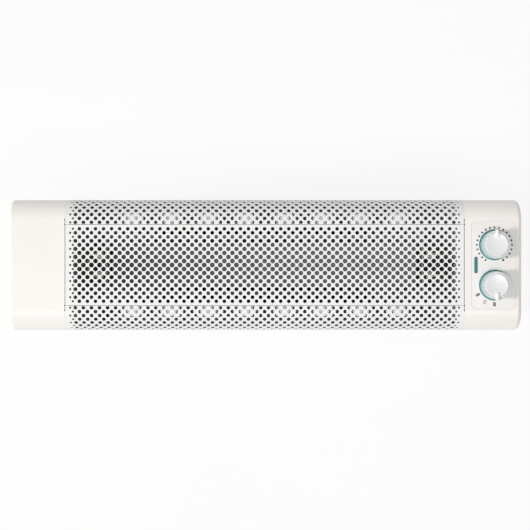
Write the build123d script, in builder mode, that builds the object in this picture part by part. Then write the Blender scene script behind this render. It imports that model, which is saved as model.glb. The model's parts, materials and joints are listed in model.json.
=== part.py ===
from build123d import *
import math
import os

os.makedirs("parts", exist_ok=True)

# A slim floor-standing fan convector heater, in millimetres.
# Origin at the centre of the footprint on the floor, +X along the length, -Y the user's side, +Z up.

# Overall casing
LENGTH = 670.0
DEPTH = 172.0
TOP = 350.0                  # height of the flat top
SKIRT = 46.0                 # height of the casing's bottom edge
BASE = 75.0                  # top face of the recessed intake plate
SHEET = 0.8                  # casing sheet thickness
SHOULDER_R = 26.7            # outside radius along the front and rear top edges
HALF = DEPTH / 2
FLAT = HALF - SHOULDER_R     # where the flat top turns into the shoulder
SEAM_X = 260.0               # end caps begin here
SEAM_Y = 52.65               # joint between the top grille and the bent panels
GAP = 0.6                    # width of the joints along the grille
END_GAP = 0.8                # joint at each end of the flat top
SKIN_GAP = 0.1               # joint between the panels and the end caps below the flat
RELIEF_R = 0.8               # small relief notches at the corners of the sheets

TAB_IN = 251.0               # the bottom edges carry screw tabs only beyond this distance from the middle
LIP_SCREWS = [(x, y) for x in (-254.9, 254.9) for y in (-78, 78)]

# Perforation
PITCH = 10.47                # hole spacing along X
ROW = 5.235                  # row spacing
HOLES_B = 24                 # half the number of full holes in an even row
HOLES_A = 23                 # full holes each side of the middle one in an odd row
END_HOLE_R = 1.5
END_B = 252.8
END_A = 249.3
TOP_ROWS = 9
HOLE_MID_R = 3.22
HOLE_EDGE_R = 2.4
SHOULDER_HOLE_R = 2.5
SHOULDER_FIRST = 55.4        # first shoulder row, measured along the sheet from the centre line
SHOULDER_ROWS = 12

# Controls
KNOB_X = 298.8
KNOB_Y = 26.2
KNOB_R = 18.3
KNOB_TOP_R = 14.4
KNOB_H = 15.0
RING_R = 19.2
TICK_R = 22.8
SHAFT_R = 3.0
FASCIA_X0 = 268.6
FASCIA_X1 = 326.8
FASCIA_Y = 57.5
FASCIA_T = 0.7
LAMP_X = 274.8

# Fan and duct
FAN_Z = 142.0
WHEEL_R = 30.0
WHEEL_HALF = 150.0
SHIELD_Y = 51.0
MOTOR_X = -183.0
ELEMENT_Z = 290.0
ELEMENT_HALF = 203.0


def row_points(k, y):
    """Full-size hole positions along one row."""
    if k % 2 == 0:
        return [((n + 0.5) * PITCH, y) for n in range(-HOLES_B, HOLES_B)]
    return [(n * PITCH, y) for n in range(-HOLES_A, HOLES_A + 1)]


def end_points(k, y):
    """The small hole at each end of a row."""
    x = END_B if k % 2 == 0 else END_A
    return [(-x, y), (x, y)]


def shoulder_plane(u, side):
    """Work plane just outside the sheet at developed distance u from the centre line."""
    if u < FLAT:
        y, z, ny, nz = u, TOP, 0.0, 1.0
    elif u < FLAT + SHOULDER_R * math.pi / 2:
        a = (u - FLAT) / SHOULDER_R
        y = FLAT + SHOULDER_R * math.sin(a)
        z = TOP - SHOULDER_R + SHOULDER_R * math.cos(a)
        ny, nz = math.sin(a), math.cos(a)
    else:
        y = HALF
        z = TOP - SHOULDER_R - (u - FLAT - SHOULDER_R * math.pi / 2)
        ny, nz = 1.0, 0.0
    return Plane(origin=(0, side * (y + ny), z + nz), x_dir=(1, 0, 0), z_dir=(0, side * ny, nz))


def save(part, node):
    part.label = node
    export_step(part, "parts/" + node + ".step")


# ---------------------------------------------------------------- casing sheets

with BuildPart() as top_grille:
    with BuildSketch(Plane.XY.offset(TOP - SHEET)):
        Rectangle(2 * (SEAM_X - END_GAP), 2 * (SEAM_Y - GAP / 2))
        with GridLocations(2 * SEAM_X, 2 * SEAM_Y, 2, 2):
            Circle(RELIEF_R + 0.4, mode=Mode.SUBTRACT)
        for k in range(-TOP_ROWS, TOP_ROWS + 1):
            radius = HOLE_MID_R + (HOLE_EDGE_R - HOLE_MID_R) * (abs(k) / TOP_ROWS)
            with Locations(*row_points(k, k * ROW)):
                Circle(radius, mode=Mode.SUBTRACT)
            with Locations(*end_points(k, k * ROW)):
                Circle(END_HOLE_R, mode=Mode.SUBTRACT)
    extrude(amount=SHEET)
    # down-turned stiffening edges
    for side in (-1, 1):
        with Locations((0, side * (SEAM_Y - GAP / 2 - SHEET / 2), TOP - SHEET - 4.5)):
            Box(2 * 246, SHEET, 9.0)
save(top_grille.part, "top_grille")

with BuildPart() as rear_panel:
    y0 = SEAM_Y + GAP / 2
    zc = TOP - SHOULDER_R
    with BuildSketch(Plane.YZ.offset(-SEAM_X + SKIN_GAP)):
        with BuildLine():
            Polyline((FLAT, TOP), (y0, TOP), (y0, TOP - 9), (y0 + SHEET, TOP - 9), (y0 + SHEET, TOP - SHEET),
                     (FLAT, TOP - SHEET))
            CenterArc((FLAT, zc), SHOULDER_R - SHEET, 0, 90)
            Polyline((HALF - SHEET, zc), (HALF - SHEET, SKIRT + SHEET), (HALF - 12, SKIRT + SHEET),
                     (HALF - 12, SKIRT), (HALF, SKIRT), (HALF, zc))
            CenterArc((FLAT, zc), SHOULDER_R, 0, 90)
        make_face()
    extrude(amount=2 * (SEAM_X - SKIN_GAP))
    # the flat strip stops short of the end caps, with a relief notch at each corner
    with BuildSketch(Plane.XY.offset(TOP - 3)):
        for end in (-1, 1):
            with Locations((end * (SEAM_X - END_GAP + 2), (y0 + FLAT) / 2 - 1)):
                Rectangle(4, FLAT - y0 + 2)
            with Locations((end * SEAM_X, SEAM_Y), (end * SEAM_X, FLAT)):
                Circle(RELIEF_R)
    extrude(amount=4, mode=Mode.SUBTRACT)
    # the bottom lip is cut back to a tab at each end
    with Locations((0, HALF - SHEET - 6.5, SKIRT + 1)):
        Box(2 * TAB_IN, 13, 4, mode=Mode.SUBTRACT)
    # screw holes in the tabs
    with BuildSketch(Plane.XY.offset(SKIRT)):
        with Locations(*[p for p in LIP_SCREWS if p[1] > 0]):
            Circle(1.6)
    extrude(amount=SHEET, mode=Mode.SUBTRACT)
    # the stiffening edge stops short of the ends
    for end in (-1, 1):
        with Locations((end * 254, y0 + SHEET / 2, TOP - SHEET - 5)):
            Box(16, 2 * SHEET, 10, mode=Mode.SUBTRACT)
    planes_b = []
    planes_a = []
    for k in range(SHOULDER_ROWS):
        plane = shoulder_plane(SHOULDER_FIRST + k * ROW, 1)
        if k % 2 == 0:
            planes_b.append(plane)
        else:
            planes_a.append(plane)
    for parity, planes in ((0, planes_b), (1, planes_a)):
        with BuildSketch(*planes):
            with Locations(*row_points(parity, 0)):
                Circle(SHOULDER_HOLE_R)
            with Locations(*end_points(parity, 0)):
                Circle(END_HOLE_R)
        extrude(amount=-2.6, mode=Mode.SUBTRACT)
save(rear_panel.part, "rear_panel")

with BuildPart() as front_panel:
    mirror(rear_panel.part, about=Plane.XZ)
save(front_panel.part, "front_panel")

# ---------------------------------------------------------------- end caps

BOSS_Y = 62.0
BOSS_Z = (96.0, 300.0)
CAP_WALL = 2.5

with BuildPart() as left_end_cap:
    zc = TOP - SHOULDER_R
    with BuildSketch(Plane.YZ.offset(-LENGTH / 2)):
        with BuildLine():
            Polyline((-HALF, zc), (-HALF, SKIRT), (HALF, SKIRT), (HALF, zc))
            CenterArc((FLAT, zc), SHOULDER_R, 0, 90)
            Line((FLAT, TOP), (-FLAT, TOP))
            CenterArc((-FLAT, zc), SHOULDER_R, 90, 90)
        make_face()
    extrude(amount=LENGTH / 2 - SEAM_X)
    end_face = left_end_cap.faces().sort_by(Axis.X)[0]
    rim = [e for e in end_face.edges() if e.center().Z > SKIRT + 1]
    fillet(rim, radius=6)
    inner_face = left_end_cap.faces().sort_by(Axis.X)[-1]
    under_face = left_end_cap.faces().sort_by(Axis.Z)[0]
    offset(amount=-CAP_WALL, openings=[inner_face, under_face], kind=Kind.INTERSECTION)
    with BuildSketch(Plane.XY.offset(TOP - 3)):
        with Locations(*[(-SEAM_X, side * y) for side in (-1, 1) for y in (SEAM_Y, FLAT)]):
            Circle(RELIEF_R)
    extrude(amount=4, mode=Mode.SUBTRACT)
    # screw bosses reaching the bulkhead
    with BuildSketch(Plane.YZ.offset(-SEAM_X + 0.8)):
        for z in BOSS_Z:
            with Locations((-BOSS_Y, z), (BOSS_Y, z)):
                Circle(4.5)
    extrude(until=Until.NEXT, dir=(-1, 0, 0))
    with BuildSketch(Plane.YZ.offset(-SEAM_X + 0.8)):
        for z in BOSS_Z:
            with Locations((-BOSS_Y, z), (BOSS_Y, z)):
                Circle(1.5)
    extrude(amount=-16, mode=Mode.SUBTRACT)
save(left_end_cap.part, "left_end_cap")

FASCIA_CX = (FASCIA_X0 + FASCIA_X1) / 2
FASCIA_LX = FASCIA_X1 - FASCIA_X0
KNOB_POSITIONS = ((KNOB_X, KNOB_Y), (KNOB_X, -KNOB_Y))

with BuildPart() as right_end_cap:
    mirror(left_end_cap.part, about=Plane.YZ)
    # shallow recess for the fascia, with openings for the shafts and the lamp
    with BuildSketch(Plane.XY.offset(TOP - 0.8)):
        with Locations((FASCIA_CX, 0)):
            RectangleRounded(FASCIA_LX, 2 * FASCIA_Y, 7.5)
    extrude(amount=2, mode=Mode.SUBTRACT)
    with BuildSketch(Plane.XY.offset(TOP)):
        with Locations(*KNOB_POSITIONS):
            Circle(5.5)
        with Locations((LAMP_X, 0)):
            SlotOverall(22.0, 4.6, rotation=90)
    extrude(amount=-6, mode=Mode.SUBTRACT)
save(right_end_cap.part, "right_end_cap")

# ---------------------------------------------------------------- controls

FASCIA_Z = TOP - 0.8
FASCIA_TOP = FASCIA_Z + FASCIA_T

with BuildPart() as control_fascia:
    with BuildSketch(Plane.XY.offset(FASCIA_Z)):
        with Locations((FASCIA_CX, 0)):
            RectangleRounded(FASCIA_LX - 0.8, 2 * FASCIA_Y - 0.8, 7.1)
        with Locations(*KNOB_POSITIONS):
            Circle(5.0, mode=Mode.SUBTRACT)
        with Locations((LAMP_X, 0)):
            SlotOverall(21.6, 4.2, rotation=90, mode=Mode.SUBTRACT)
    extrude(amount=FASCIA_T)
save(control_fascia.part, "control_fascia")

with BuildPart() as knob_rings:
    with BuildSketch(Plane.XY.offset(FASCIA_TOP)):
        with Locations(*KNOB_POSITIONS):
            Circle(RING_R + 0.8)
            Circle(RING_R - 0.8, mode=Mode.SUBTRACT)
    extrude(amount=0.3)
save(knob_rings.part, "knob_rings")

with BuildPart() as thermostat_scale_marks:
    with BuildSketch(Plane.XY.offset(FASCIA_TOP)):
        with Locations((KNOB_X, KNOB_Y)):
            with PolarLocations(TICK_R, 20, start_angle=-45, angular_range=300, endpoint=False):
                Rectangle(2.3, 1.9)
    extrude(amount=0.15)
    with BuildSketch(Plane.XY.offset(FASCIA_TOP)):
        a = math.radians(-60)
        with Locations((KNOB_X + TICK_R * math.cos(a), KNOB_Y + TICK_R * math.sin(a))):
            Circle(1.45)
    extrude(amount=0.15)
save(thermostat_scale_marks.part, "thermostat_scale_marks")

with BuildPart() as selector_scale_marks:
    with BuildSketch(Plane.XY.offset(FASCIA_TOP)):
        with Locations((KNOB_X, -KNOB_Y)):
            # single bar, figure nought and double bar, clockwise to anticlockwise
            with PolarLocations(24.8, 1, start_angle=210):
                Rectangle(5.6, 3.2)
            with PolarLocations(25.0, 1, start_angle=240):
                Ellipse(2.7, 1.8)
                Ellipse(1.9, 1.0, mode=Mode.SUBTRACT)
            with PolarLocations(24.8, 1, start_angle=270):
                with Locations((0, -0.95), (0, 0.95)):
                    Rectangle(5.6, 1.6)
    extrude(amount=0.15)
save(selector_scale_marks.part, "selector_scale_marks")

KNOB_Z = TOP + 0.7
KNOB_TOP = TOP + KNOB_H
BORE_TOP = KNOB_TOP - 4.0
RIB_DROP = 0.6               # step from the knob's top disc down to the ribbed band round it
DISH = 0.9                   # depth of the shallow dish in the knob's top

# Knob and pointer are drawn on the Z axis with the pointer along +X, then set in place.
with BuildPart() as pointer_bar:
    with BuildSketch(Plane.XZ):
        Polygon((9.2, KNOB_TOP - 1.7), (9.2, KNOB_TOP + 1.0), (9.7, KNOB_TOP + 1.5), (18.6, KNOB_TOP + 1.5),
                (19.1, KNOB_TOP + 1.0), (19.1, KNOB_TOP - 4.6), (17.3, KNOB_TOP - 4.6),
                (17.3, KNOB_TOP - 3.4), (15.6, KNOB_TOP - 1.7), align=None)
    extrude(amount=1.15, both=True)

with BuildPart() as knob_body:
    with BuildSketch(Plane.XZ):
        with BuildLine():
            # shallow dish in the top, edged by a narrow flat rim
            ThreePointArc((0, KNOB_TOP - DISH), (KNOB_TOP_R / 2 - 0.3, KNOB_TOP - 0.75 * DISH),
                          (KNOB_TOP_R - 0.6, KNOB_TOP))
            Polyline((KNOB_TOP_R - 0.6, KNOB_TOP), (KNOB_TOP_R, KNOB_TOP),
                     (KNOB_TOP_R + 0.2, KNOB_TOP - RIB_DROP),
                     (KNOB_R - 0.6, KNOB_TOP - RIB_DROP - 0.1), (KNOB_R - 0.1, KNOB_TOP - RIB_DROP - 0.6),
                     (KNOB_R, KNOB_Z), (KNOB_R - 1.8, KNOB_Z), (KNOB_R - 1.9, KNOB_TOP - 5.2),
                     (6.0, KNOB_TOP - 5.2), (6.0, KNOB_Z + 1.0), (0, KNOB_Z + 1.0), (0, KNOB_TOP - DISH))
        make_face()
    revolve(axis=Axis.Z)
    # fine ribs: grooves down the skirt and across the band round the disc
    with BuildSketch(Plane.XY.offset(KNOB_Z - 1)):
        with PolarLocations(KNOB_R + 0.2, 60, start_angle=3):
            Circle(0.65)
    extrude(amount=KNOB_H, mode=Mode.SUBTRACT)
    for n in range(60):
        a = math.radians(3 + 6 * n)
        groove = Plane(origin=((KNOB_TOP_R + 0.5) * math.cos(a), (KNOB_TOP_R + 0.5) * math.sin(a),
                               KNOB_TOP - RIB_DROP + 0.08),
                       x_dir=(-math.sin(a), math.cos(a), 0), z_dir=(math.cos(a), math.sin(a), 0))
        with BuildSketch(groove):
            Circle(0.6)
        extrude(amount=5, mode=Mode.SUBTRACT)
    # D-shaped socket for the shaft
    with BuildSketch(Plane.XY.offset(KNOB_Z)):
        Circle(SHAFT_R + 0.05)
        with Locations((3.2, 0)):
            Rectangle(2.0, 8.0, mode=Mode.SUBTRACT)
    extrude(amount=BORE_TOP - KNOB_Z, mode=Mode.SUBTRACT)
    add(pointer_bar.part, mode=Mode.SUBTRACT)

SHAFT_LOW = TOP - 29.5

with BuildPart() as control_shaft:
    with BuildSketch(Plane.XY.offset(SHAFT_LOW)):
        Circle(SHAFT_R)
    extrude(amount=BORE_TOP - 0.5 - SHAFT_LOW)
    with BuildSketch(Plane.XY.offset(KNOB_Z)):
        with Locations((3.15, 0)):
            Rectangle(2.0, 8.0)
    extrude(amount=20, mode=Mode.SUBTRACT)

for name, y, turn in (("thermostat", KNOB_Y, 90), ("selector", -KNOB_Y, -90)):
    place = Location((KNOB_X, y, 0), (0, 0, turn))
    save(knob_body.part.moved(place), name + "_knob")
    save(pointer_bar.part.moved(place), name + "_pointer")
    save(control_shaft.part.moved(place), name + "_shaft")

BRACKET_Z = TOP - 16.8       # underside of the plate that carries the controls
BRACKET_T = 1.2
BULKHEAD_X = SEAM_X - 0.8    # outer face of the bulkheads

with BuildPart() as control_bracket:
    with BuildSketch(Plane.XY.offset(BRACKET_Z)):
        with Locations(((BULKHEAD_X + 325) / 2, 0)):
            RectangleRounded(325 - BULKHEAD_X, 110, 3)
        with Locations(*KNOB_POSITIONS):
            Circle(4.9, mode=Mode.SUBTRACT)
    extrude(amount=BRACKET_T)
    with BuildSketch(Plane.YZ.offset(BULKHEAD_X)):
        with Locations((0, BRACKET_Z + BRACKET_T / 2 - 9)):
            Rectangle(104, BRACKET_T + 18)
        with Locations((-40, BRACKET_Z - 10), (40, BRACKET_Z - 10)):
            Circle(2.1, mode=Mode.SUBTRACT)
    extrude(amount=BRACKET_T)
save(control_bracket.part, "control_bracket")

with BuildPart() as thermostat_body:
    with BuildSketch(Plane.XY.offset(BRACKET_Z - 22)):
        with Locations((KNOB_X, KNOB_Y)):
            RectangleRounded(36, 30, 2.5)
    extrude(amount=22)
    with BuildSketch(Plane.XY.offset(BRACKET_Z)):
        with Locations((KNOB_X, KNOB_Y)):
            Circle(4.8)
    extrude(amount=10)
    with BuildSketch(Plane.XY.offset(SHAFT_LOW - 0.5)):
        with Locations((KNOB_X, KNOB_Y)):
            Circle(SHAFT_R + 0.06)
    extrude(amount=40, mode=Mode.SUBTRACT)
    # louvred sides over the bimetal strip
    with BuildSketch(Plane.YZ.offset(KNOB_X - 18)):
        with Locations((KNOB_Y - 9, BRACKET_Z - 13), (KNOB_Y, BRACKET_Z - 13), (KNOB_Y + 9, BRACKET_Z - 13)):
            Rectangle(4, 10)
    extrude(amount=3, mode=Mode.SUBTRACT)
save(thermostat_body.part, "thermostat_body")

with BuildPart() as selector_body:
    with BuildSketch(Plane.XY.offset(BRACKET_Z - 24)):
        with Locations((KNOB_X, -KNOB_Y)):
            Circle(17.0)
            Rectangle(42, 12)
    extrude(amount=24)
    with BuildSketch(Plane.XY.offset(BRACKET_Z)):
        with Locations((KNOB_X, -KNOB_Y)):
            Circle(4.8)
    extrude(amount=10)
    with BuildSketch(Plane.XY.offset(SHAFT_LOW - 0.5)):
        with Locations((KNOB_X, -KNOB_Y)):
            Circle(SHAFT_R + 0.06)
    extrude(amount=40, mode=Mode.SUBTRACT)
save(selector_body.part, "selector_body")

with BuildPart() as control_nuts:
    with BuildSketch(Plane.XY.offset(BRACKET_Z + BRACKET_T)):
        with Locations(*KNOB_POSITIONS):
            RegularPolygon(7.5, 6)
            Circle(4.82, mode=Mode.SUBTRACT)
    extrude(amount=2.6)
save(control_nuts.part, "control_nuts")

TAB_TOP = BRACKET_Z - 24

with BuildPart() as control_tabs:
    with BuildSketch(Plane.XY.offset(BRACKET_Z - 30)):
        with Locations((KNOB_X - 11, KNOB_Y), (KNOB_X + 11, KNOB_Y)):
            Rectangle(0.8, 6.3)
    extrude(amount=8)
    with BuildSketch(Plane.XY.offset(BRACKET_Z - 32)):
        with Locations((KNOB_X - 10, -KNOB_Y - 8), (KNOB_X, -KNOB_Y - 8), (KNOB_X + 10, -KNOB_Y - 8),
                       (KNOB_X, -KNOB_Y + 9)):
            Rectangle(6.3, 0.8)
    extrude(amount=8)
save(control_tabs.part, "control_tabs")

with BuildPart() as pilot_lens:
    with BuildSketch(Plane.XY.offset(TOP - 3.7)):
        with Locations((LAMP_X, 0)):
            SlotOverall(26.0, 8.6, rotation=90)
    extrude(amount=1.1)
    with BuildSketch(Plane.XY.offset(TOP - 2.6)):
        with Locations((LAMP_X, 0)):
            SlotOverall(21.3, 3.9, rotation=90)
    extrude(amount=2.9)
save(pilot_lens.part, "pilot_lens")

with BuildPart() as pilot_lamp:
    with BuildSketch(Plane.XZ.offset(-7)):
        with Locations((LAMP_X, TOP - 8.4)):
            Circle(3.0)
    extrude(amount=14)
    fillet(pilot_lamp.edges().sort_by(Axis.Y)[0], radius=2.6)
save(pilot_lamp.part, "pilot_lamp")

with BuildPart() as lamp_holder:
    with BuildSketch(Plane.XY.offset(BRACKET_Z + BRACKET_T)):
        with Locations((LAMP_X, 0)):
            Rectangle(9.0, 20.0)
    extrude(amount=TOP - 8.4 - BRACKET_Z - BRACKET_T)
    with BuildSketch(Plane.XZ.offset(-8)):
        with Locations((LAMP_X, TOP - 8.4)):
            Circle(3.05)
    extrude(amount=16, mode=Mode.SUBTRACT)
save(lamp_holder.part, "lamp_holder")

# ---------------------------------------------------------------- base, bulkheads and feet

BASE_HALF_X = LENGTH / 2 - 3.2
BASE_HALF_Y = HALF - 2.9
MID_HALF_X = SEAM_X - 1.4
MID_HALF_Y = HALF - SHEET - 0.3
LIP_Z = SKIRT + SHEET        # the intake tray's tabs rest on the panels' tabs
FOOT_X = 279.0
FOOT_SCREWS = [(x, y) for x in (-FOOT_X, FOOT_X) for y in (-40, 40)]
GLAND_X = 317.0
GLAND_Y = 58.0

with BuildPart() as base_plate:
    # wider between the panels than inside the end caps
    with BuildSketch(Plane.XY.offset(LIP_Z)):
        RectangleRounded(2 * BASE_HALF_X, 2 * BASE_HALF_Y, 5)
        Rectangle(2 * MID_HALF_X, 2 * MID_HALF_Y)
    extrude(amount=BASE - LIP_Z)
    with BuildSketch(Plane.XY.offset(LIP_Z)):
        RectangleRounded(2 * BASE_HALF_X - 2 * SHEET, 2 * BASE_HALF_Y - 2 * SHEET, 4.2)
        Rectangle(2 * MID_HALF_X - 2 * SHEET, 2 * MID_HALF_Y - 2 * SHEET)
    extrude(amount=BASE - LIP_Z - SHEET, mode=Mode.SUBTRACT)
    with BuildSketch(Plane.XY.offset(LIP_Z)):
        with GridLocations(TAB_IN + MID_HALF_X, 2 * (MID_HALF_Y - 5.6), 2, 2):
            Rectangle(MID_HALF_X - TAB_IN, 11.2)
        with Locations(*LIP_SCREWS):
            Circle(1.55, mode=Mode.SUBTRACT)
    extrude(amount=SHEET)
    # intake holes: a band each side and a field below the fan
    with BuildSketch(Plane.XY.offset(BASE - SHEET)):
        for k in range(11, 16):
            for side in (-1, 1):
                with Locations(*[p for p in row_points(k, side * k * ROW) if abs(p[0]) < 246]):
                    Circle(2.6)
        # the outermost row is slots along the edge, left out under the clips
        for side in (-1, 1):
            with Locations(*[p for p in row_points(16, side * 82.4) if 40 < abs(p[0]) < 246]):
                SlotOverall(5.2, 2.8)
        for k in range(-5, 6):
            with Locations(*[p for p in row_points(k, k * ROW) if abs(p[0]) < 158]):
                Circle(2.6)
        with Locations(*FOOT_SCREWS):
            Circle(2.05)
        with Locations((GLAND_X, GLAND_Y)):
            Circle(8.1)
    extrude(amount=SHEET, mode=Mode.SUBTRACT)
save(base_plate.part, "base_plate")

with BuildPart() as left_bulkhead:
    zc = TOP - SHOULDER_R
    for inset, start, length, mode in ((1.0, 0, 4.0, Mode.ADD), (2.0, 1.0, 3.0, Mode.SUBTRACT)):
        with BuildSketch(Plane.YZ.offset(-BULKHEAD_X + start)):
            with BuildLine():
                Polyline((-HALF + inset, zc), (-HALF + inset, BASE + inset - 1),
                         (HALF - inset, BASE + inset - 1), (HALF - inset, zc))
                CenterArc((FLAT, zc), SHOULDER_R - inset, 0, 90)
                Line((FLAT, TOP - inset), (-FLAT, TOP - inset))
                CenterArc((-FLAT, zc), SHOULDER_R - inset, 90, 90)
            make_face()
        extrude(amount=length, mode=mode)
    # screw holes for the cap, and a grommet hole for the leads
    with BuildSketch(Plane.YZ.offset(-BULKHEAD_X)):
        for z in BOSS_Z:
            with Locations((-BOSS_Y, z), (BOSS_Y, z)):
                Circle(1.6)
        with Locations((0, 245)):
            Circle(9)
        with Locations((-40, BRACKET_Z - 10), (40, BRACKET_Z - 10)):
            Circle(2.1)
    extrude(amount=1.0, mode=Mode.SUBTRACT)
    fillet(left_bulkhead.edges().filter_by(Axis.X).group_by(Axis.Z)[0], radius=0.4)
save(left_bulkhead.part, "left_bulkhead")

with BuildPart() as right_bulkhead:
    mirror(left_bulkhead.part, about=Plane.YZ)
save(right_bulkhead.part, "right_bulkhead")

with BuildPart() as right_foot:
    with BuildSketch(Plane.YZ.offset(FOOT_X - 21)):
        Polygon((-84, 5), (-84, 13), (-73, 43.5), (-71, 43.5), (-71, BASE - SHEET), (71, BASE - SHEET),
                (71, 43.5), (73, 43.5), (84, 13), (84, 5), (60, 5), (46, 22), (-46, 22), (-60, 5), align=None)
    extrude(amount=42)
    fillet(right_foot.edges().filter_by(Axis.Z), radius=3)
    fillet(right_foot.edges().filter_by(Axis.X).filter_by(lambda e: abs(e.center().Z - 22) < 0.1), radius=8)
    # hollowed from above between the screw posts
    with BuildSketch(Plane.XY.offset(BASE - SHEET)):
        for y in (-60, -20, 20, 60):
            with Locations((FOOT_X, y)):
                RectangleRounded(34, 18 if abs(y) > 30 else 26, 3)
    extrude(amount=-38, mode=Mode.SUBTRACT)
    with BuildSketch(Plane.XY.offset(0)):
        with Locations((FOOT_X, -40), (FOOT_X, 40)):
            Circle(2.2)
    extrude(amount=BASE, mode=Mode.SUBTRACT)
    with BuildSketch(Plane.XY.offset(0)):
        with Locations((FOOT_X, -40), (FOOT_X, 40)):
            Circle(4.5)
    extrude(amount=31, mode=Mode.SUBTRACT)

with BuildPart() as feet:
    add(right_foot.part)
    mirror(right_foot.part, about=Plane.YZ)
save(feet.part, "feet")

with BuildPart() as foot_pads:
    with BuildSketch(Plane.XY):
        with GridLocations(2 * FOOT_X, 2 * 72, 2, 2):
            SlotOverall(32, 18)
    extrude(amount=5)
    fillet(foot_pads.edges().group_by(Axis.Z)[0], radius=1)
save(foot_pads.part, "foot_pads")

with BuildPart() as foot_screws:
    with BuildSketch(Plane.XY.offset(28)):
        with Locations(*FOOT_SCREWS):
            Circle(3.8)
    extrude(amount=3)
    with BuildSketch(Plane.XY.offset(31)):
        with Locations(*FOOT_SCREWS):
            Circle(1.95)
    extrude(amount=BASE + 4 - 31)
    with BuildSketch(Plane.XY.offset(28)):
        with Locations(*FOOT_SCREWS):
            Rectangle(4.2, 1.0)
            Rectangle(1.0, 4.2)
    extrude(amount=1.4, mode=Mode.SUBTRACT)
save(foot_screws.part, "foot_screws")

# pan-head screws: casing lips to intake tray, bulkheads to end caps, bulkhead to control bracket
with BuildPart() as casing_screws:
    for start, length, radius, mode in ((-2, 2, 3.4, Mode.ADD), (0, 7, 1.5, Mode.ADD)):
        with BuildSketch(Plane.XY.offset(SKIRT + start)):
            with Locations(*LIP_SCREWS):
                Circle(radius)
        extrude(amount=length, mode=mode)
    with BuildSketch(Plane.XY.offset(SKIRT - 2)):
        with Locations(*LIP_SCREWS):
            Rectangle(3.8, 0.9)
            Rectangle(0.9, 3.8)
    extrude(amount=1.1, mode=Mode.SUBTRACT)
    for side in (-1, 1):
        head = Plane(origin=(side * (BULKHEAD_X - 1), 0, 0), x_dir=(0, 1, 0), z_dir=(side, 0, 0))
        spots = [(y, side * z) for y in (-BOSS_Y, BOSS_Y) for z in BOSS_Z]
        with BuildSketch(head):
            with Locations(*spots):
                Circle(3.4)
        extrude(amount=-2)
        with BuildSketch(head):
            with Locations(*spots):
                Circle(1.48)
        extrude(amount=13)
        with BuildSketch(head.offset(-2)):
            with Locations(*spots):
                Rectangle(3.8, 0.9)
                Rectangle(0.9, 3.8)
        extrude(amount=1.1, mode=Mode.SUBTRACT)
    for start, length, radius in ((BRACKET_T, 2.0, 3.4), (-4, 4 + BRACKET_T, 1.95)):
        with BuildSketch(Plane.YZ.offset(BULKHEAD_X + start)):
            with Locations((-40, BRACKET_Z - 10), (40, BRACKET_Z - 10)):
                Circle(radius)
        extrude(amount=length)
save(casing_screws.part, "casing_screws")

# ---------------------------------------------------------------- duct, element and fan

with BuildPart() as rear_heat_shield:
    with BuildSketch(Plane.YZ.offset(-BULKHEAD_X + 1)):
        Polygon((SHIELD_Y, 205), (SHIELD_Y, 330), (SHIELD_Y + 1, 330), (SHIELD_Y + 1, 205), align=None)
    extrude(amount=2 * (BULKHEAD_X - 1))
save(rear_heat_shield.part, "rear_heat_shield")

with BuildPart() as front_heat_shield:
    mirror(rear_heat_shield.part, about=Plane.XZ)
save(front_heat_shield.part, "front_heat_shield")

# clips in the middle that hold the panels to the intake plate
with BuildPart() as panel_brackets:
    y1 = HALF - SHEET
    for side in (-1, 1):
        with BuildSketch(Plane.YZ.offset(-37)):
            Polygon((side * (y1 - 4.4), BASE), (side * y1, BASE), (side * y1, BASE + 32),
                    (side * (y1 - 1), BASE + 32), (side * (y1 - 1), BASE + 1), (side * (y1 - 4.4), BASE + 1),
                    align=None)
        extrude(amount=74)
save(panel_brackets.part, "panel_brackets")

TUBE_Y = 13.0
SLEEVE_R = 6.0
FIN_T = 1.3
ELEMENT_TOP = 306.4          # flat top of the extrusion
ELEMENT_HALF_Y = 29.6

with BuildPart() as element_fins:
    with BuildSketch(Plane.YZ.offset(-ELEMENT_HALF)):
        with Locations((0, ELEMENT_Z)):
            Rectangle(2 * TUBE_Y, FIN_T)
        with Locations((0, ELEMENT_TOP - FIN_T / 2)):
            Rectangle(2 * ELEMENT_HALF_Y, FIN_T)
        for side in (-1, 1):
            # fins hanging from the flat top between the sleeves and outside them
            for y, drop in ((3.0, 10.0), (22.5, 9.5), (ELEMENT_HALF_Y - FIN_T / 2, 11.0)):
                with Locations((side * y, ELEMENT_TOP - drop / 2)):
                    Rectangle(FIN_T, drop)
            with Locations((side * TUBE_Y, ELEMENT_Z)):
                Circle(SLEEVE_R)
            for lean, reach in ((0, 16.5), (-42, 23.0), (-138, 17.0), (90, 15.6), (-90, 19.0)):
                a = math.radians(lean)
                with Locations((side * (TUBE_Y + reach / 2 * math.cos(a)),
                                ELEMENT_Z + reach / 2 * math.sin(a))):
                    Rectangle(reach, FIN_T, rotation=side * lean)
        with Locations((-TUBE_Y, ELEMENT_Z), (TUBE_Y, ELEMENT_Z)):
            Circle(4.3, mode=Mode.SUBTRACT)
    extrude(amount=2 * ELEMENT_HALF)
save(element_fins.part, "element_fins")

with BuildPart() as element_tubes:
    with BuildSketch(Plane.YZ.offset(-ELEMENT_HALF - 16)):
        with Locations((-TUBE_Y, ELEMENT_Z), (TUBE_Y, ELEMENT_Z)):
            Circle(4.25)
    extrude(amount=2 * ELEMENT_HALF + 32)
save(element_tubes.part, "element_tubes")

with BuildPart() as element_insulators:
    for x0, length, radius in ((ELEMENT_HALF + 16, 9, 5.5), (ELEMENT_HALF + 25, 4, 3.5)):
        for start in (x0, -x0 - length):
            with BuildSketch(Plane.YZ.offset(start)):
                with Locations((-TUBE_Y, ELEMENT_Z), (TUBE_Y, ELEMENT_Z)):
                    Circle(radius)
                    Circle(1.3, mode=Mode.SUBTRACT)
            extrude(amount=length)
save(element_insulators.part, "element_insulators")

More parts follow.
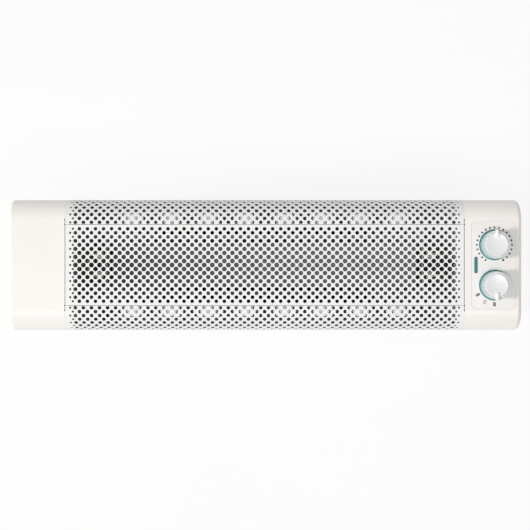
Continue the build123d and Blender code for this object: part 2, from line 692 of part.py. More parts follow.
with BuildPart() as element_pins:
    for start in (ELEMENT_HALF + 16, -ELEMENT_HALF - 36):
        with BuildSketch(Plane.YZ.offset(start)):
            with Locations((-TUBE_Y, ELEMENT_Z), (TUBE_Y, ELEMENT_Z)):
                Circle(1.25)
        extrude(amount=20)
    # link between the two rods at the left end
    with BuildSketch(Plane.YZ.offset(-ELEMENT_HALF - 36)):
        with Locations((0, ELEMENT_Z)):
            SlotOverall(2 * TUBE_Y + 7, 6.5)
    extrude(amount=-1)
save(element_pins.part, "element_pins")

RAIL_Y = 38.8
RAIL_W = 5.6

with BuildPart() as element_brackets:
    for start in (-ELEMENT_HALF - 9, ELEMENT_HALF + 8):
        with BuildSketch(Plane.YZ.offset(start)):
            with Locations((0, ELEMENT_Z)):
                Rectangle(2 * SHIELD_Y, 40)
            with Locations((-TUBE_Y, ELEMENT_Z), (TUBE_Y, ELEMENT_Z)):
                Circle(4.3, mode=Mode.SUBTRACT)
            with Locations((-38, ELEMENT_Z), (38, ELEMENT_Z)):
                SlotOverall(24, 9, rotation=90, mode=Mode.SUBTRACT)
        extrude(amount=1)
    # rails along both sides join the two end plates, and side tabs hold them to the shields
    for side in (-1, 1):
        with Locations((0, side * RAIL_Y, ELEMENT_Z - 19.5)):
            Box(2 * ELEMENT_HALF + 16, RAIL_W, 1)
        with Locations((-ELEMENT_HALF - 14, side * (SHIELD_Y - 0.5), ELEMENT_Z),
                       (ELEMENT_HALF + 14, side * (SHIELD_Y - 0.5), ELEMENT_Z)):
            Box(11, 1, 40)
save(element_brackets.part, "element_brackets")

CUTOUT_X = ELEMENT_HALF + 9
with BuildPart() as thermal_cutout:
    with BuildSketch(Plane.YZ.offset(CUTOUT_X)):
        with Locations((0, ELEMENT_Z + 10)):
            Circle(8)
    extrude(amount=9)
    with BuildSketch(Plane.YZ.offset(CUTOUT_X)):
        with Locations((0, ELEMENT_Z + 10)):
            SlotOverall(30, 9, rotation=90)
    extrude(amount=0.8)
    with BuildSketch(Plane.YZ.offset(CUTOUT_X + 9)):
        with Locations((-4.5, ELEMENT_Z + 10), (4.5, ELEMENT_Z + 10)):
            Rectangle(0.8, 6.3)
    extrude(amount=8)
save(thermal_cutout.part, "thermal_cutout")

FAN_END = WHEEL_HALF + 6
with BuildPart() as fan_scroll:
    with BuildSketch(Plane.YZ.offset(-FAN_END)):
        with BuildLine():
            Spline((16, FAN_Z - 38), (34, FAN_Z - 24), (43, FAN_Z), (47, FAN_Z + 28),
                   (SHIELD_Y + 0.4, 204.3))
        trace(line_width=1.0)
    extrude(amount=2 * FAN_END)
save(fan_scroll.part, "fan_scroll")

with BuildPart() as fan_tongue:
    with BuildSketch(Plane.YZ.offset(-FAN_END)):
        with BuildLine():
            Spline((-38, FAN_Z - 14), (-34.5, FAN_Z - 2), (-35, FAN_Z + 16), (-42, FAN_Z + 34),
                   (-SHIELD_Y - 0.4, 204.3))
        trace(line_width=1.0)
    extrude(amount=2 * FAN_END)
save(fan_tongue.part, "fan_tongue")

with BuildPart() as fan_end_plates:
    for start in (-FAN_END - 1.2, FAN_END):
        with BuildSketch(Plane.YZ.offset(start)):
            with Locations((0, 151)):
                Rectangle(2 * SHIELD_Y + 4, 106)
            with Locations((0, FAN_Z)):
                Circle(8.0, mode=Mode.SUBTRACT)
        extrude(amount=1.2)
    # feet of the plates, standing on the intake plate
    for side in (-1, 1):
        for y in (-36, 36):
            with Locations((side * (FAN_END + 5), y, 86.5)):
                Box(10, 16, 23)
    for side in (-1, 1):
        with Locations((side * (FAN_END + 6.2), 0, 86.9)):
            Box(10, 90, 22, mode=Mode.SUBTRACT)
save(fan_end_plates.part, "fan_end_plates")

with BuildPart() as fan_wheel:
    for start in (-WHEEL_HALF, -0.75, WHEEL_HALF - 1.5):
        with BuildSketch(Plane.YZ.offset(start)):
            with Locations((0, FAN_Z)):
                Circle(WHEEL_R)
                if start == -0.75:
                    Circle(WHEEL_R - 9, mode=Mode.SUBTRACT)
                else:
                    Circle(2.0, mode=Mode.SUBTRACT)
        extrude(amount=1.5)
    with BuildSketch(Plane.YZ.offset(-WHEEL_HALF)):
        with Locations((0, FAN_Z)):
            with PolarLocations(WHEEL_R - 4.6, 28):
                Rectangle(7.6, 0.9, rotation=32)
    extrude(amount=2 * WHEEL_HALF)
    for start in (-WHEEL_HALF, WHEEL_HALF - 6):
        with BuildSketch(Plane.YZ.offset(start)):
            with Locations((0, FAN_Z)):
                Circle(5.5)
                Circle(2.0, mode=Mode.SUBTRACT)
        extrude(amount=6)
save(fan_wheel.part, "fan_wheel")

with BuildPart() as fan_shaft:
    with BuildSketch(Plane.YZ.offset(-206)):
        with Locations((0, FAN_Z)):
            Circle(2.0)
    extrude(amount=206 + 163)
save(fan_shaft.part, "fan_shaft")

with BuildPart() as bearing_grommet:
    with BuildSketch(Plane.YZ.offset(FAN_END)):
        with Locations((0, FAN_Z)):
            Circle(8.0)
            Circle(4.0, mode=Mode.SUBTRACT)
    extrude(amount=1.2)
    with BuildSketch(Plane.YZ.offset(FAN_END + 1.2)):
        with Locations((0, FAN_Z)):
            Circle(10.5)
            Circle(4.0, mode=Mode.SUBTRACT)
    extrude(amount=2.2)
save(bearing_grommet.part, "bearing_grommet")

STACK = 15.0
with BuildPart() as motor_stack:
    with BuildSketch(Plane.YZ.offset(MOTOR_X - STACK / 2)):
        with Locations((0, 151)):
            RectangleRounded(56, 70, 3)
        with Locations((0, FAN_Z)):
            Circle(12.9, mode=Mode.SUBTRACT)
        with Locations((0, 167)):
            Rectangle(36, 10, mode=Mode.SUBTRACT)
        with Locations((-21, FAN_Z), (21, FAN_Z)):
            Circle(1.6, mode=Mode.SUBTRACT)
        # shading-ring slots
        for side in (-1, 1):
            with Locations((side * 14.5, FAN_Z + side * 6)):
                Rectangle(4.5, 1.2, mode=Mode.SUBTRACT)
    extrude(amount=STACK)
save(motor_stack.part, "motor_stack")

with BuildPart() as motor_coil:
    with BuildSketch(Plane.XZ.offset(-15)):
        with Locations((MOTOR_X, 179)):
            RectangleRounded(28, 31, 5)
            Rectangle(STACK + 0.2, 14.2, mode=Mode.SUBTRACT)
    extrude(amount=30)
save(motor_coil.part, "motor_coil")

with BuildPart() as coil_bobbin:
    for y in (-15, 16.2):
        with BuildSketch(Plane.XZ.offset(-y)):
            with Locations((MOTOR_X, 179)):
                RectangleRounded(31, 33.4, 3)
                Rectangle(STACK + 0.2, 14.2, mode=Mode.SUBTRACT)
        extrude(amount=1.2)
    with Locations((MOTOR_X + 9, 16.7, 198)):
        Box(3, 1, 8)
save(coil_bobbin.part, "coil_bobbin")

with BuildPart() as motor_rotor:
    with BuildSketch(Plane.YZ.offset(MOTOR_X - STACK / 2)):
        with Locations((0, FAN_Z)):
            Circle(12.4)
            Circle(2.0, mode=Mode.SUBTRACT)
    extrude(amount=STACK)
    fillet(motor_rotor.edges().filter_by(GeomType.CIRCLE).sort_by(SortBy.RADIUS)[-2:], radius=0.6)
save(motor_rotor.part, "motor_rotor")

BRIDGE_GAP = 5.0
with BuildPart() as motor_bridges:
    for start in (MOTOR_X - STACK / 2 - BRIDGE_GAP - 3, MOTOR_X + STACK / 2 + BRIDGE_GAP):
        with BuildSketch(Plane.YZ.offset(start)):
            with Locations((0, FAN_Z)):
                SlotOverall(54, 12)
                Circle(8)
            with Locations((0, FAN_Z)):
                Circle(4.0, mode=Mode.SUBTRACT)
            with Locations((-21, FAN_Z), (21, FAN_Z)):
                Circle(1.6, mode=Mode.SUBTRACT)
        extrude(amount=3)
    for start in (MOTOR_X - STACK / 2 - BRIDGE_GAP, MOTOR_X + STACK / 2):
        with BuildSketch(Plane.YZ.offset(start)):
            with Locations((-21, FAN_Z), (21, FAN_Z)):
                Circle(3.6)
                Circle(1.6, mode=Mode.SUBTRACT)
        extrude(amount=BRIDGE_GAP)
save(motor_bridges.part, "motor_bridges")

with BuildPart() as fan_bearings:
    for start in (MOTOR_X - STACK / 2 - BRIDGE_GAP - 4, MOTOR_X + STACK / 2 + BRIDGE_GAP - 1, FAN_END - 1):
        with BuildSketch(Plane.YZ.offset(start)):
            with Locations((0, FAN_Z)):
                Circle(4.0)
                Circle(2.05, mode=Mode.SUBTRACT)
        extrude(amount=5)
save(fan_bearings.part, "fan_bearings")

# long screws clamp the two bridges and the stack to the fan's left end plate
with BuildPart() as motor_screws:
    for start, length, radius in ((MOTOR_X - STACK / 2 - BRIDGE_GAP - 5, 2.0, 3.0),
                                  (MOTOR_X - STACK / 2 - BRIDGE_GAP - 3, 41.0, 1.55)):
        with BuildSketch(Plane.YZ.offset(start)):
            with Locations((-21, FAN_Z), (21, FAN_Z)):
                Circle(radius)
        extrude(amount=length)
    with BuildSketch(Plane.YZ.offset(MOTOR_X + STACK / 2 + BRIDGE_GAP + 3)):
        with Locations((-21, FAN_Z), (21, FAN_Z)):
            Circle(3.6)
    extrude(amount=-FAN_END - 1.2 - (MOTOR_X + STACK / 2 + BRIDGE_GAP + 3))
save(motor_screws.part, "motor_screws")

# ---------------------------------------------------------------- supply side

with BuildPart() as terminal_block:
    with Locations((BULKHEAD_X + 10, 0, 120)):
        Box(20, 58, 20)
    for n in range(4):
        y = -21 + 14 * n
        with Locations((BULKHEAD_X + 16, y, 127)):
            Box(8.01, 9, 8, mode=Mode.SUBTRACT)
        with BuildSketch(Plane.XY.offset(109)):
            with Locations((BULKHEAD_X + 13, y)):
                Rectangle(7, 9)
        extrude(amount=6, mode=Mode.SUBTRACT)
save(terminal_block.part, "terminal_block")

with BuildPart() as terminal_clamps:
    for n in range(4):
        y = -21 + 14 * n
        with Locations((BULKHEAD_X + 15.5, y, 124.5)):
            Box(7, 8, 3)
        with BuildSketch(Plane.XY.offset(126)):
            with Locations((BULKHEAD_X + 15.5, y)):
                Circle(2.4)
        extrude(amount=2.2)
        with Locations((BULKHEAD_X + 15.5, y, 128.2)):
            Box(0.8, 4.9, 1.2, mode=Mode.SUBTRACT)
save(terminal_clamps.part, "terminal_clamps")

with BuildPart() as cable_gland:
    with BuildSketch(Plane.XY.offset(BASE - SHEET - 4)):
        with Locations((GLAND_X, GLAND_Y)):
            Circle(10.5)
    extrude(amount=4)
    with BuildSketch(Plane.XY.offset(BASE - SHEET - 12)):
        with Locations((GLAND_X, GLAND_Y)):
            Circle(6.5)
    extrude(amount=8)
    with BuildSketch(Plane.XY.offset(BASE - SHEET)):
        with Locations((GLAND_X, GLAND_Y)):
            Circle(8.0)
    extrude(amount=10)
    with BuildSketch(Plane.XY.offset(0)):
        with Locations((GLAND_X, GLAND_Y)):
            Circle(3.6)
    extrude(amount=120, mode=Mode.SUBTRACT)
    with BuildSketch(Plane.XY.offset(BASE)):
        with Locations((GLAND_X, GLAND_Y)):
            RegularPolygon(11.5, 6)
            Circle(8.05, mode=Mode.SUBTRACT)
    extrude(amount=4)
save(cable_gland.part, "cable_gland")


def lead(points, radius):
    """An insulated lead run through the given points."""
    with BuildPart() as run:
        with BuildLine() as route:
            Spline(*points)
        start = route.line @ 0
        with BuildSketch(Plane(origin=start, z_dir=route.line % 0)):
            Circle(radius)
        sweep(path=route.line)
    return run.part


TAB_X = KNOB_X - 11
PIN_X = ELEMENT_HALF + 36
LINE_TAB = (KNOB_X - 10, -KNOB_Y - 8, 300.4)
FAN_TAB = (KNOB_X, -KNOB_Y - 8, 300.4)
HEAT_TAB = (KNOB_X + 10, -KNOB_Y - 8, 300.4)
live_runs = [
    [(BULKHEAD_X + 13, -21, 112), (BULKHEAD_X + 20, -24, 96), (300, -34, 150), (310, -40, 240), LINE_TAB],
    [HEAT_TAB, (322, -30, 260), (318, 10, 240), (KNOB_X + 11, KNOB_Y, 302.4)],
    [(TAB_X, KNOB_Y, 302.4), (282, 24, 270), (268, 6, 247), (252, 2, 246), (244, 8, 268),
     (PIN_X - 4, TUBE_Y, ELEMENT_Z - 2.6)],
    [FAN_TAB, (290, -36, 270), (270, -8, 251), (250, -5, 250), (232, -16, 238), (190, -38, 216),
     (100, -44, 210), (0, -44, 210), (-100, -44, 210), (-150, -36, 210), (-170, -10, 208),
     (MOTOR_X + 9, 14, 203.6)],
]
neutral_run = [(BULKHEAD_X + 13, -7, 112), (BULKHEAD_X + 22, -6, 98), (284, 2, 150), (274, 0, 220),
               (266, -3, 243), (253, -4, 244), (244, -10, 268), (PIN_X - 4, -TUBE_Y, ELEMENT_Z - 2.6)]
earth_run = [(BULKHEAD_X + 13, 21, 112), (BULKHEAD_X + 24, 26, 98), (290, 44, 120), (272, 48, 190),
             (BULKHEAD_X + 4.4, 46, 205)]

with BuildPart() as live_leads:
    for points in live_runs:
        add(lead(points, 1.15))
save(live_leads.part, "live_leads")
save(lead(neutral_run, 1.15), "neutral_lead")
save(lead(earth_run, 1.15), "earth_lead")

with BuildPart() as earth_tag:
    with BuildSketch(Plane.YZ.offset(BULKHEAD_X)):
        with Locations((46, 205)):
            Circle(5)
    extrude(amount=0.8)
    with BuildSketch(Plane.YZ.offset(BULKHEAD_X + 0.8)):
        with Locations((46, 205)):
            RegularPolygon(3.6, 6)
    extrude(amount=2.4)
save(earth_tag.part, "earth_tag")
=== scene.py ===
"""Looks for a slim fan convector heater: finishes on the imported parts, studio floor, light and camera.

Metres, in the part's own frame: origin on the floor under the middle, +X along the length, +Z up.
"""

import json

import bpy
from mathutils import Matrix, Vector


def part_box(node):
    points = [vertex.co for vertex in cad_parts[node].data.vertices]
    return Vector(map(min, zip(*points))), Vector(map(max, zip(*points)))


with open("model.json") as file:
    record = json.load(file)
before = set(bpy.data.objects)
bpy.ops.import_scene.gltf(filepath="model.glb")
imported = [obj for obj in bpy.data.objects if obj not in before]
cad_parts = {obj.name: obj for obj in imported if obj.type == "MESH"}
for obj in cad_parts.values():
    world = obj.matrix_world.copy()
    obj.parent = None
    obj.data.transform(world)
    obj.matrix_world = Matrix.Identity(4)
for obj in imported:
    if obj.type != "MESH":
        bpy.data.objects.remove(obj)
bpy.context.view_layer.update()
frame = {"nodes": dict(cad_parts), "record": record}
nodes = frame["nodes"]
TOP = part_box("top_grille")[1].z
KNOB_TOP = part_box("thermostat_knob")[1].z

NOISE_ROUGHNESS = 0.55
WAVE_SCALE = 0.314           # the band texture's scale for bands one metre apart
COAT_ROUGHNESS = 0.15

# ---------------------------------------------------------------- shading helpers


class Finish:
    """A Principled material with its node tree, and short ways to add detail to it."""

    def __init__(self, name, roughness=0.5, metallic=0.0, coat=0.0, ior=1.5):
        self.material = bpy.data.materials.new(name)
        self.material.use_nodes = True
        self.tree = self.material.node_tree
        self.shader = self.tree.nodes["Principled BSDF"]
        self.shader.inputs["Roughness"].default_value = roughness
        self.shader.inputs["Metallic"].default_value = metallic
        self.shader.inputs["IOR"].default_value = ior
        self.shader.inputs["Coat Weight"].default_value = coat
        self.shader.inputs["Coat Roughness"].default_value = COAT_ROUGHNESS
        self.coords = self.node("ShaderNodeTexCoord").outputs["Object"]
        self.height = None

    def node(self, kind, **settings):
        made = self.tree.nodes.new(kind)
        for key, value in settings.items():
            setattr(made, key, value)
        return made

    def link(self, source, target):
        self.tree.links.new(source, target)

    def stretched(self, scale):
        mapping = self.node("ShaderNodeMapping")
        mapping.inputs["Scale"].default_value = scale
        self.link(self.coords, mapping.inputs["Vector"])
        return mapping.outputs["Vector"]

    def noise(self, size, detail=4.0, stretch=(1, 1, 1)):
        """Noise with features about size metres across."""
        texture = self.node("ShaderNodeTexNoise")
        texture.inputs["Scale"].default_value = 1.0 / size
        texture.inputs["Detail"].default_value = detail
        texture.inputs["Roughness"].default_value = NOISE_ROUGHNESS
        self.link(self.stretched(stretch), texture.inputs["Vector"])
        return texture.outputs["Fac"]

    def stripes(self, pitch, axis):
        """Smooth bands pitch metres apart across the named axis."""
        texture = self.node("ShaderNodeTexWave", wave_type="BANDS", bands_direction=axis)
        texture.inputs["Scale"].default_value = WAVE_SCALE / pitch
        self.link(self.coords, texture.inputs["Vector"])
        return texture.outputs["Fac"]

    def ramp(self, fac, low, high, start=0.0, end=1.0):
        made = self.node("ShaderNodeValToRGB")
        made.color_ramp.elements[0].position = start
        made.color_ramp.elements[1].position = end
        made.color_ramp.elements[0].color = (*low, 1)
        made.color_ramp.elements[1].color = (*high, 1)
        self.link(fac, made.inputs["Fac"])
        return made.outputs["Color"]

    def mix(self, fac, first, second, blend="MIX"):
        made = self.node("ShaderNodeMix", data_type="RGBA", blend_type=blend)
        if isinstance(fac, float):
            made.inputs["Factor"].default_value = fac
        else:
            self.link(fac, made.inputs["Factor"])
        self.link(first, made.inputs[6])
        self.link(second, made.inputs[7])
        return made.outputs[2]

    def range(self, value, low, high, start=0.0, end=1.0):
        made = self.node("ShaderNodeMapRange")
        made.inputs["From Min"].default_value = start
        made.inputs["From Max"].default_value = end
        made.inputs["To Min"].default_value = low
        made.inputs["To Max"].default_value = high
        self.link(value, made.inputs["Value"])
        return made.outputs["Result"]

    def color(self, source):
        self.link(source, self.shader.inputs["Base Color"])

    def rough(self, source):
        self.link(source, self.shader.inputs["Roughness"])

    def bump(self, source, depth, strength=1.0):
        """Adds relief depth metres high on top of any bump already there."""
        made = self.node("ShaderNodeBump")
        made.inputs["Distance"].default_value = depth
        made.inputs["Strength"].default_value = strength
        self.link(source, made.inputs["Height"])
        if self.height is not None:
            self.link(self.height, made.inputs["Normal"])
        self.height = made.outputs["Normal"]
        self.link(self.height, self.shader.inputs["Normal"])


def srgb(r, g, b):
    """Linear colour from 0-255 display values."""
    return tuple(((c / 255) / 12.92 if c <= 10 else ((c / 255 + 0.055) / 1.055) ** 2.4) for c in (r, g, b))


# ---------------------------------------------------------------- finishes


def powder_coat():
    f = Finish("powder_coat", 0.45, ior=1.48)
    f.color(f.ramp(f.noise(0.05), srgb(236, 236, 235), srgb(239, 239, 238), 0.35, 0.65))
    f.rough(f.range(f.noise(0.004), 0.36, 0.52))
    f.bump(f.noise(0.0011, 2.0), 0.00003, 0.6)
    f.bump(f.noise(0.0032, 1.0), 0.00004, 0.5)
    return f.material


def cap_moulding():
    f = Finish("cap_moulding", 0.38, coat=0.15)
    f.color(f.ramp(f.noise(0.08), srgb(243, 239, 235), srgb(246, 242, 238), 0.35, 0.65))
    f.rough(f.range(f.noise(0.006), 0.30, 0.44))
    f.bump(f.noise(0.0007, 2.0), 0.000012, 0.6)
    return f.material


def fascia_inlay():
    f = Finish("fascia_inlay", 0.3, coat=0.3)
    f.color(f.ramp(f.noise(0.03), srgb(240, 236, 233), srgb(244, 240, 237), 0.35, 0.65))
    f.rough(f.range(f.noise(0.002), 0.24, 0.36))
    f.bump(f.noise(0.0005, 2.0), 0.000008, 0.5)
    return f.material


SKIRT_REFLECTION_FOOT = TOP + 0.0008    # painted teal reflection of the ring on the knobs' skirts is strongest from here down
SKIRT_REFLECTION_END = TOP + 0.0075   # painted shade: the teal reflection has faded into the skirts' plain painted grey by here
# the painted shade on the skirts and in the groove bottoms gives way to the disc's colour between these
# heights
GROOVE_SHADE_LOW = KNOB_TOP - 0.00105
GROOVE_SHADE_HIGH = KNOB_TOP - 0.0009


def knob_moulding_painted_shade():
    f = Finish("knob_moulding_painted_shade", 0.28, coat=0.4)
    place = f.node("ShaderNodeSeparateXYZ")
    f.link(f.coords, place.inputs["Vector"])
    # painted shade: the skirt is coloured greyer than the disc, with a painted teal reflection of the ring
    # towards its foot
    teal_reflection_fade = f.range(place.outputs["Z"], 0.0, 1.0, SKIRT_REFLECTION_FOOT, SKIRT_REFLECTION_END)
    painted_skirt_shade = f.ramp(teal_reflection_fade, srgb(166, 215, 218), srgb(182, 194, 195))
    disc = f.ramp(f.noise(0.012), srgb(228, 230, 230), srgb(236, 237, 237))
    # painted shade: the bottoms of the grooves between the ribs get the skirt's painted grey
    groove_shade_to_disc = f.range(place.outputs["Z"], 0.0, 1.0, GROOVE_SHADE_LOW, GROOVE_SHADE_HIGH)
    f.color(f.mix(groove_shade_to_disc, painted_skirt_shade, disc))
    f.rough(f.range(f.noise(0.0015), 0.2, 0.38))
    f.bump(f.noise(0.0006, 3.0), 0.000015, 0.7)
    return f.material


def pointer_insert():
    f = Finish("pointer_insert", 0.35, coat=0.2)
    f.color(f.ramp(f.noise(0.004), srgb(250, 250, 250), srgb(254, 254, 254), 0.3, 0.7))
    f.rough(f.range(f.noise(0.001), 0.28, 0.42))
    f.bump(f.noise(0.0004, 2.0), 0.000006, 0.5)
    return f.material


def teal_print():
    f = Finish("teal_print", 0.32, coat=0.3)
    f.color(f.ramp(f.noise(0.003), srgb(14, 116, 122), srgb(30, 134, 138), 0.3, 0.7))
    f.rough(f.range(f.noise(0.0008), 0.26, 0.42))
    f.bump(f.noise(0.0003, 2.0), 0.000008, 0.5)
    return f.material


def dark_print():
    f = Finish("dark_print", 0.6)
    f.color(f.ramp(f.noise(0.0008), srgb(38, 34, 32), srgb(58, 52, 48), 0.3, 0.7))
    f.rough(f.range(f.noise(0.0004), 0.5, 0.7))
    f.bump(f.noise(0.0002, 2.0), 0.00001, 0.5)
    return f.material


def grey_print():
    f = Finish("grey_print", 0.6)
    f.color(f.ramp(f.noise(0.0008), srgb(118, 106, 101), srgb(138, 124, 118), 0.3, 0.7))
    f.rough(f.range(f.noise(0.0004), 0.5, 0.7))
    f.bump(f.noise(0.0002, 2.0), 0.00001, 0.5)
    return f.material


def tinted_lens():
    f = Finish("tinted_lens", 0.18, coat=0.5)
    f.color(f.ramp(f.noise(0.004), srgb(20, 110, 118), srgb(38, 128, 136), 0.3, 0.7))
    f.rough(f.range(f.noise(0.001), 0.12, 0.24))
    # fine prisms moulded across the lens
    f.bump(f.stripes(0.0009, "Y"), 0.00005, 0.4)
    return f.material


def lamp_glass():
    f = Finish("lamp_glass", 0.05, ior=1.46)
    f.shader.inputs["Transmission Weight"].default_value = 0.9
    f.color(f.ramp(f.noise(0.003), srgb(246, 240, 232), srgb(254, 250, 246), 0.3, 0.7))
    f.rough(f.range(f.noise(0.001), 0.02, 0.09))
    return f.material


def galvanised():
    f = Finish("galvanised", 0.5, metallic=0.35)
    cells = f.node("ShaderNodeTexVoronoi")
    cells.inputs["Scale"].default_value = 1 / 0.009
    f.link(f.coords, cells.inputs["Vector"])
    spangle = cells.outputs["Color"]
    grey = f.node("ShaderNodeRGBToBW")
    f.link(spangle, grey.inputs["Color"])
    f.color(f.ramp(grey.outputs["Val"], srgb(176, 178, 180), srgb(204, 206, 207), 0.2, 0.8))
    f.rough(f.range(grey.outputs["Val"], 0.4, 0.6))
    f.bump(f.noise(0.0012, 3.0), 0.00002, 0.4)
    return f.material


def primed_sheet():
    f = Finish("primed_sheet", 0.6)
    f.color(f.ramp(f.noise(0.03), srgb(206, 207, 208), srgb(218, 219, 219), 0.35, 0.65))
    f.rough(f.range(f.noise(0.002), 0.5, 0.7))
    f.bump(f.noise(0.0012, 2.0), 0.00002, 0.5)
    return f.material


def plated_screw():
    f = Finish("plated_screw", 0.3, metallic=1.0)
    f.color(f.ramp(f.noise(0.003), srgb(176, 176, 168), srgb(206, 205, 198), 0.3, 0.7))
    f.rough(f.range(f.noise(0.0008), 0.2, 0.45))
    f.bump(f.noise(0.0003, 3.0), 0.00001, 0.5)
    return f.material


def extruded_aluminium_painted_shade():
    f = Finish("extruded_aluminium_painted_shade", 0.5, metallic=0.4)
    lines = f.noise(0.0005, 3.0, stretch=(0.01, 1, 1))
    place = f.node("ShaderNodeSeparateXYZ")
    f.link(f.coords, place.inputs["Vector"])
    # painted shade: coloured darker towards the left end, where the left cap shades the element
    left_end_shade = f.range(place.outputs["X"], 0.0, 1.0, -0.2, 0.06)
    f.color(f.mix(lines, f.ramp(left_end_shade, srgb(78, 78, 80), srgb(114, 114, 116)),
                  f.ramp(left_end_shade, srgb(96, 96, 98), srgb(136, 136, 138))))
    f.rough(f.range(lines, 0.4, 0.6))
    f.bump(lines, 0.00001, 0.6)
    return f.material


def sheathed_tube():
    f = Finish("sheathed_tube", 0.4, metallic=1.0)
    tint = f.noise(0.03, 3.0, stretch=(0.4, 1, 1))
    f.color(f.ramp(tint, srgb(108, 100, 94), srgb(150, 140, 122), 0.3, 0.7))
    f.rough(f.range(f.noise(0.002), 0.3, 0.5))
    f.bump(f.noise(0.0004, 2.0), 0.000008, 0.5)
    return f.material


def steatite():
    f = Finish("steatite", 0.75)
    f.color(f.ramp(f.noise(0.002), srgb(226, 221, 208), srgb(240, 236, 226), 0.3, 0.7))
    f.rough(f.range(f.noise(0.0006), 0.62, 0.85))
    f.bump(f.noise(0.0003, 4.0), 0.00003, 0.6)
    return f.material


def terminal_brass():
    f = Finish("terminal_brass", 0.32, metallic=1.0)
    f.color(f.ramp(f.noise(0.002), srgb(196, 164, 98), srgb(220, 190, 126), 0.3, 0.7))
    f.rough(f.range(f.noise(0.0006), 0.22, 0.44))
    f.bump(f.noise(0.0003, 3.0), 0.00001, 0.5)
    return f.material


def black_phenolic():
    f = Finish("black_phenolic", 0.45)
    f.color(f.ramp(f.noise(0.004), srgb(24, 24, 25), srgb(40, 39, 39), 0.3, 0.7))
    f.rough(f.range(f.noise(0.001), 0.36, 0.56))
    f.bump(f.noise(0.0004, 3.0), 0.00002, 0.5)
    return f.material


def cream_polyamide():
    f = Finish("cream_polyamide", 0.5)
    f.shader.inputs["Subsurface Weight"].default_value = 0.05
    f.color(f.ramp(f.noise(0.006), srgb(222, 216, 200), srgb(234, 229, 216), 0.3, 0.7))
    f.rough(f.range(f.noise(0.001), 0.42, 0.6))
    f.bump(f.noise(0.0005, 3.0), 0.00002, 0.5)
    return f.material


def pressed_blades():
    f = Finish("pressed_blades", 0.38, metallic=1.0)
    lines = f.noise(0.0006, 3.0, stretch=(0.02, 1, 1))
    f.color(f.ramp(lines, srgb(160, 162, 164), srgb(186, 188, 190), 0.3, 0.7))
    f.rough(f.range(lines, 0.3, 0.5))
    f.bump(lines, 0.000008, 0.5)
    return f.material


def ground_steel():
    f = Finish("ground_steel", 0.25, metallic=1.0)
    lines = f.noise(0.0002, 2.0, stretch=(1, 0.1, 0.1))
    f.color(f.ramp(lines, srgb(150, 150, 152), srgb(184, 184, 186), 0.3, 0.7))
    f.rough(f.range(lines, 0.16, 0.34))
    f.bump(lines, 0.000004, 0.5)
    return f.material


def sintered_bronze():
    f = Finish("sintered_bronze", 0.5, metallic=0.9)
    f.color(f.ramp(f.noise(0.0006, 4.0), srgb(128, 92, 52), srgb(172, 130, 80), 0.35, 0.65))
    f.rough(f.range(f.noise(0.0004), 0.4, 0.6))
    f.bump(f.noise(0.0002, 4.0), 0.00002, 0.6)
    return f.material


def laminations():
    f = Finish("laminations", 0.5, metallic=0.8)
    sheets = f.stripes(0.0005, "X")
    f.color(f.mix(f.noise(0.006), f.ramp(sheets, srgb(62, 66, 74), srgb(118, 121, 128)),
                  f.ramp(sheets, srgb(74, 70, 66), srgb(130, 126, 120))))
    f.rough(f.range(f.noise(0.001), 0.4, 0.62))
    f.bump(sheets, 0.00006, 0.8)
    return f.material


def copper_winding():
    f = Finish("copper_winding", 0.3, metallic=0.6, coat=0.6)
    turns = f.stripes(0.0004, "Y")
    f.color(f.mix(f.noise(0.003), f.ramp(turns, srgb(104, 48, 22), srgb(178, 98, 52)),
                  f.ramp(turns, srgb(120, 56, 26), srgb(196, 112, 62))))
    f.rough(f.range(turns, 0.5, 0.26))
    f.bump(turns, 0.0001, 0.9)
    return f.material


def foot_moulding():
    f = Finish("foot_moulding", 0.5)
    f.color(f.ramp(f.noise(0.02), srgb(206, 206, 205), srgb(216, 216, 214), 0.3, 0.7))
    f.rough(f.range(f.noise(0.001), 0.42, 0.6))
    f.bump(f.noise(0.0006, 3.0), 0.00003, 0.6)
    return f.material


def black_rubber():
    f = Finish("black_rubber", 0.8)
    f.color(f.ramp(f.noise(0.003), srgb(22, 22, 22), srgb(42, 41, 40), 0.3, 0.7))
    f.rough(f.range(f.noise(0.001), 0.7, 0.92))
    f.bump(f.noise(0.0004, 3.0), 0.00003, 0.6)
    return f.material


def lead_sleeve(name, low, high):
    f = Finish(name, 0.35)
    f.color(f.ramp(f.noise(0.004), low, high, 0.3, 0.7))
    f.rough(f.range(f.noise(0.001), 0.26, 0.42))
    f.bump(f.noise(0.0005, 2.0), 0.00001, 0.5)
    return f.material


def earth_sleeve():
    f = Finish("earth_sleeve", 0.35)
    f.color(f.ramp(f.stripes(0.0046, "DIAGONAL"), srgb(58, 128, 44), srgb(224, 208, 44), 0.46, 0.54))
    f.rough(f.range(f.noise(0.001), 0.26, 0.42))
    f.bump(f.noise(0.0005, 2.0), 0.00001, 0.5)
    return f.material


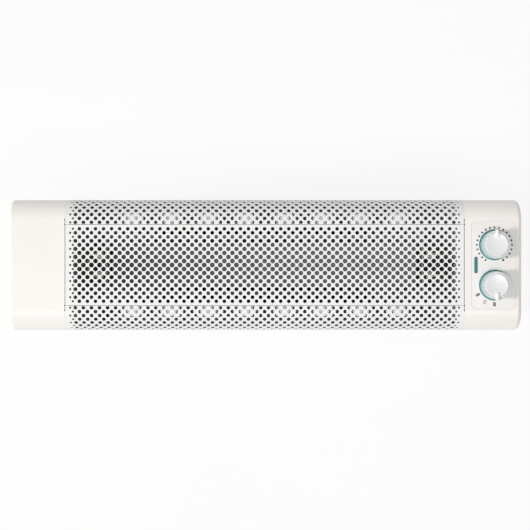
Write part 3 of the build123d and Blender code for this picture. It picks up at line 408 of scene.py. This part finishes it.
FINISH_OF_SLOT = {
    "casing_paint": powder_coat(), "cap_white": cap_moulding(), "fascia_white": fascia_inlay(),
    "knob_white": knob_moulding_painted_shade(), "pointer_white": pointer_insert(), "teal_accent": teal_print(),
    "mark_dark": dark_print(), "lens_teal": tinted_lens(), "lamp_glass": lamp_glass(),
    "galvanised": galvanised(), "zinc_screw": plated_screw(), "element_alu": extruded_aluminium_painted_shade(),
    "tube_steel": sheathed_tube(), "insulator": steatite(), "terminal_metal": terminal_brass(),
    "black_moulding": black_phenolic(), "cream_moulding": cream_polyamide(), "wheel_alu": pressed_blades(),
    "shaft_steel": ground_steel(), "bronze": sintered_bronze(), "lamination": laminations(),
    "coil_copper": copper_winding(), "grey_foot": foot_moulding(), "black_rubber": black_rubber(),
    "lead_brown": lead_sleeve("lead_brown_sleeve", srgb(82, 48, 28), srgb(102, 62, 38)),
    "lead_blue": lead_sleeve("lead_blue_sleeve", srgb(28, 74, 150), srgb(42, 92, 172)),
    "lead_green": earth_sleeve(),
}
BULKHEAD_FINISH = primed_sheet()
FINISH_OF_NODE = {"selector_scale_marks": grey_print(), "left_bulkhead": BULKHEAD_FINISH,
                  "right_bulkhead": BULKHEAD_FINISH}

for part in frame["record"]["subparts"]:
    node = nodes[part["node"]]
    finish = FINISH_OF_NODE.get(part["node"], FINISH_OF_SLOT[part["material_slot"]])
    node.data.materials.clear()
    node.data.materials.append(finish)

# ---------------------------------------------------------------- studio

VIEW_HEIGHT = 1.290          # camera above the flat top
VIEW_X = 0.0005
LENS = 67.4
SENSOR = 36.0
FLOOR_HALF = 6.0
FLOOR_GLOW = 0.86            # a back-lit white sweep, so that the ground stays clear of shadow
SHADE_GLOW = 0.33            # what is left of the glow under the middle of the heater
SHADE_EDGES = (("X", 0.30, 0.35), ("Y", 0.066, 0.100))
ROOM_LIGHT = 0.36
KEY_POWER = 345
SOFTBOX_POWER = 22


def studio_floor():
    mesh = bpy.data.meshes.new("studio_floor")
    corners = [(x * FLOOR_HALF, y * FLOOR_HALF, 0) for x, y in ((-1, -1), (1, -1), (1, 1), (-1, 1))]
    mesh.from_pydata(corners, [], [(0, 1, 2, 3)])
    floor = bpy.data.objects.new("studio_floor", mesh)
    bpy.context.scene.collection.objects.link(floor)
    f = Finish("studio_paper", 0.9)
    f.color(f.ramp(f.noise(0.3), (0.10, 0.10, 0.10), (0.11, 0.11, 0.11), 0.3, 0.7))
    f.shader.inputs["Emission Color"].default_value = (1, 1, 1, 1)
    # the heater stands in its own soft shade: the glow fades inwards from its edges
    place = f.node("ShaderNodeSeparateXYZ")
    f.link(f.coords, place.inputs["Vector"])
    outside = f.node("ShaderNodeMath", operation="MAXIMUM")
    for number, (axis, inner, outer) in enumerate(SHADE_EDGES):
        away = f.node("ShaderNodeMath", operation="ABSOLUTE")
        f.link(place.outputs[axis], away.inputs[0])
        f.link(f.range(away.outputs[0], 0.0, 1.0, inner, outer), outside.inputs[number])
    f.link(f.range(outside.outputs[0], SHADE_GLOW, FLOOR_GLOW), f.shader.inputs["Emission Strength"])
    f.bump(f.noise(0.002), 0.00002, 0.3)
    mesh.materials.append(f.material)


def area_light(name, place, target, size, power, tint=(1, 1, 1)):
    data = bpy.data.lights.new(name, "AREA")
    data.shape = "RECTANGLE"
    data.size, data.size_y = size
    data.energy = power
    data.color = tint
    light = bpy.data.objects.new(name, data)
    light.location = place
    light.rotation_euler = (Vector(target) - Vector(place)).to_track_quat("-Z", "Y").to_euler()
    bpy.context.scene.collection.objects.link(light)


def studio_light():
    world = bpy.data.worlds.new("studio_world")
    world.use_nodes = True
    world.node_tree.nodes["Background"].inputs["Color"].default_value = (1.0, 1.0, 1.0, 1)
    world.node_tree.nodes["Background"].inputs["Strength"].default_value = ROOM_LIGHT
    bpy.context.scene.world = world
    # key from the left and slightly in front, so that the knobs' shadows fall to the right
    area_light("key", (-6.3, -0.6, TOP + 3.3), (0.1, 0, TOP), (1.2, 1.2), KEY_POWER, (1.0, 0.98, 0.97))
    area_light("softbox", (0.0, -0.62, 2.6), (0, 0, TOP), (1.8, 0.7), SOFTBOX_POWER)


def camera():
    data = bpy.data.cameras.new("camera")
    data.lens = LENS
    data.sensor_width = SENSOR
    data.clip_start = 0.01
    cam = bpy.data.objects.new("camera", data)
    cam.location = (VIEW_X, 0.0, TOP + VIEW_HEIGHT)
    cam.rotation_euler = (0, 0, 0)
    bpy.context.scene.collection.objects.link(cam)
    bpy.context.scene.camera = cam


studio_floor()
studio_light()
camera()
bpy.context.scene.view_settings.view_transform = "Standard"
